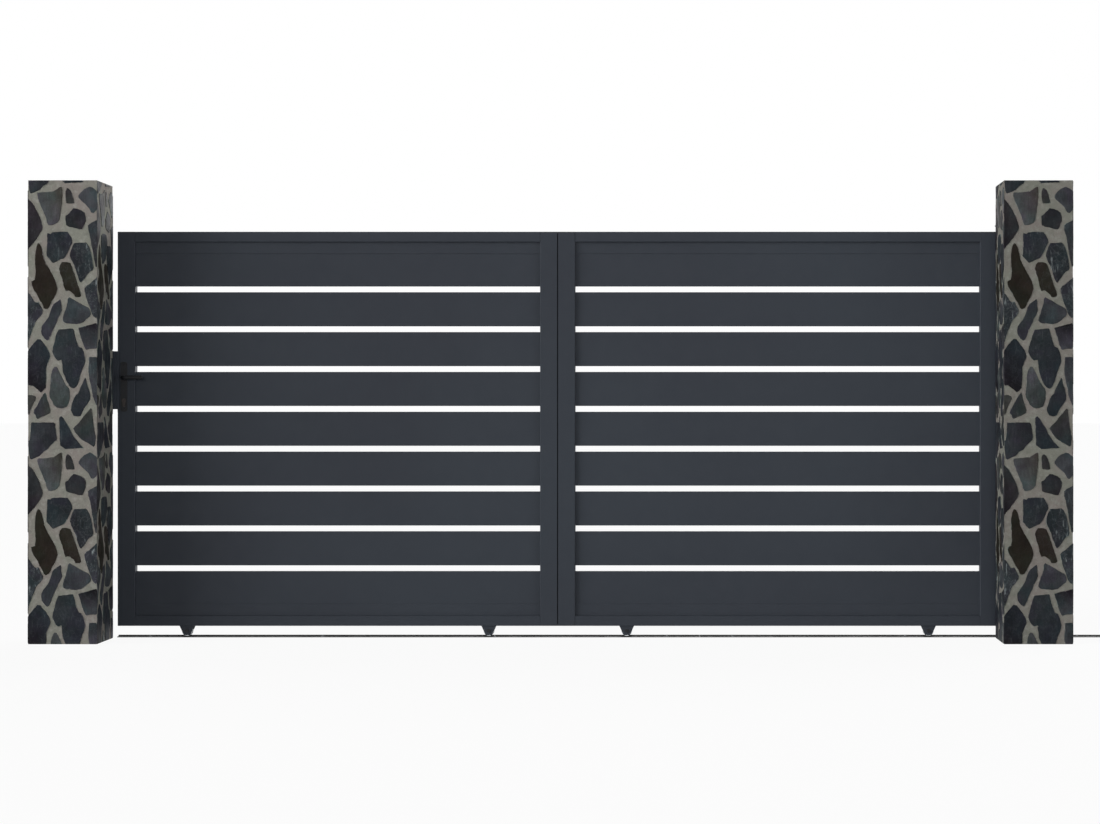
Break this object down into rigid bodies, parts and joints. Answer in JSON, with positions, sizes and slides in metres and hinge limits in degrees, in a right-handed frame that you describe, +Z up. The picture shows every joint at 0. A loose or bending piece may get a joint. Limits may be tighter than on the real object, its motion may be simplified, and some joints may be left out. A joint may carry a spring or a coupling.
{
  "type": "sliding driveway gate",
  "caption": "Slatted aluminium gate leaf in two bolted panels that slides behind stone clad pillars on grooved wheels and a ground rail, with keep, lever lock and top guide.",
  "frame": {"origin": "centre of the receiving (left) pillar's foot, at ground level", "axes": "+X along the gate from the receiving pillar to the guide pillar, the way the leaf opens; street side at -Y; +Z up"},
  "size_m": [7.325, 0.41, 1.792],
  "materials": {
    "masonry": "rough",
    "powder_coat": "matt",
    "dark_fittings": "satin",
    "galvanised": "dull",
    "steel": "satin",
    "dark_plastic": "matt",
    "nylon": "matt",
    "rubber": "matt"
  },
  "bodies": {
    "fixed_parts": {"receiving_pillar": "masonry", "guide_pillar": "masonry", "ground_rail": "galvanised", "rail_end_stop": "galvanised", "receiving_keep": "dark_fittings", "rubber_buffers": "rubber", "guide_bracket": "galvanised", "guide_rollers": "nylon"},
    "leaf": {"front_stile": "powder_coat", "left_meeting_stile": "powder_coat", "right_meeting_stile": "powder_coat", "rear_stile": "powder_coat", "tail_stile": "powder_coat", "stile_caps": "dark_plastic", "left_top_rail": "powder_coat", "left_bottom_rail": "powder_coat", "right_top_rail": "powder_coat", "right_bottom_rail": "powder_coat", "left_slat_1": "powder_coat", "left_slat_2": "powder_coat", "left_slat_3": "powder_coat", "left_slat_4": "powder_coat", "left_slat_5": "powder_coat", "left_slat_6": "powder_coat", "left_slat_7": "powder_coat", "left_slat_8": "powder_coat", "left_slat_9": "powder_coat", "right_slat_1": "powder_coat", "right_slat_2": "powder_coat", "right_slat_3": "powder_coat", "right_slat_4": "powder_coat", "right_slat_5": "powder_coat", "right_slat_6": "powder_coat", "right_slat_7": "powder_coat", "right_slat_8": "powder_coat", "right_slat_9": "powder_coat", "wheel_forks": "dark_fittings", "axle_bolts": "galvanised", "lock_plates": "dark_fittings", "lock_cylinder": "steel", "lock_case": "steel"},
    "handle": {"lever_handles": "dark_fittings"},
    "wheel_1": {"running_wheel_1": "galvanised"},
    "wheel_2": {"running_wheel_2": "galvanised"},
    "wheel_3": {"running_wheel_3": "galvanised"},
    "wheel_4": {"running_wheel_4": "galvanised"}
  },
  "joints": [
    {"name": "gate_slide", "type": "slide", "parent": "fixed_parts", "child": "leaf", "axis": [1, 0, 0], "range_m": [0, 3.36]},
    {"name": "lever_turn", "type": "hinge", "parent": "leaf", "child": "handle", "pos_m": [0.169, 0.197, 1.034], "axis": [0, 1, 0], "range_deg": [0, 45], "stiffness_Nm_per_rad": 1.2, "springref_deg": -20.05},
    {"name": "wheel_1_spin", "type": "hinge", "parent": "leaf", "child": "wheel_1", "pos_m": [0.418, 0.197, 0.025], "axis": [0, 1, 0], "continuous": true},
    {"name": "wheel_2_spin", "type": "hinge", "parent": "leaf", "child": "wheel_2", "pos_m": [1.621, 0.197, 0.025], "axis": [0, 1, 0], "continuous": true},
    {"name": "wheel_3_spin", "type": "hinge", "parent": "leaf", "child": "wheel_3", "pos_m": [2.171, 0.197, 0.025], "axis": [0, 1, 0], "continuous": true},
    {"name": "wheel_4_spin", "type": "hinge", "parent": "leaf", "child": "wheel_4", "pos_m": [3.374, 0.197, 0.025], "axis": [0, 1, 0], "continuous": true}
  ],
  "couplings": [
    {"joint": "wheel_1_spin", "follows": "gate_slide", "rad_per_m": 58.824},
    {"joint": "wheel_2_spin", "follows": "gate_slide", "rad_per_m": 58.824},
    {"joint": "wheel_3_spin", "follows": "gate_slide", "rad_per_m": 58.824},
    {"joint": "wheel_4_spin", "follows": "gate_slide", "rad_per_m": 58.824}
  ]
}
